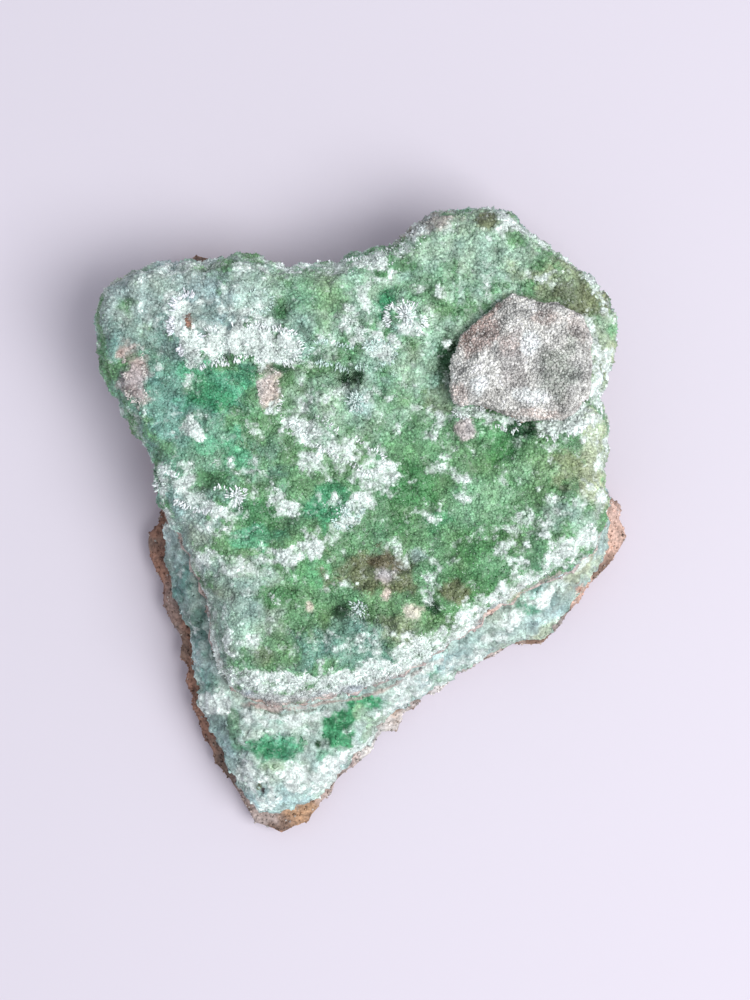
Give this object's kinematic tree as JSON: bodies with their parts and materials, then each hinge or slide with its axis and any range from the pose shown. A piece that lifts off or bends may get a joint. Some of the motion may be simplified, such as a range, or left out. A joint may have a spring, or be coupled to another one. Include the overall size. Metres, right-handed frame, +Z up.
{
  "type": "smithsonite specimen",
  "caption": "Green crystalline smithsonite crusts on brown host rock, a broken slab lying flat, with a loose-grained block of rock seated on top.",
  "frame": {"origin": "centre of the bounding box in plan, at the height of the flat underside", "axes": "+Z up out of the crystal face, +Y from the pointed tip towards the broad end, +X to the right seen from above"},
  "size_m": [0.0924, 0.1092, 0.0324],
  "materials": {
    "host_rock": "rough, granular, brown to reddish-brown limonite-stained rock",
    "smithsonite_ledge": "pale aqua to white crystals over vivid green, glassy tips",
    "parting_rock": "matt, granular, pinkish brown",
    "smithsonite": "translucent green crystals with frosted white tips and a glassy lustre",
    "block_rock": "matt, sugary, grey-white with pinkish-brown broken edges"
  },
  "bodies": {
    "root": {"host_rock": "host_rock", "lower_crust": "smithsonite_ledge", "rock_parting": "parting_rock", "upper_crust": "smithsonite", "rock_block": "block_rock"}
  },
  "joints": []
}
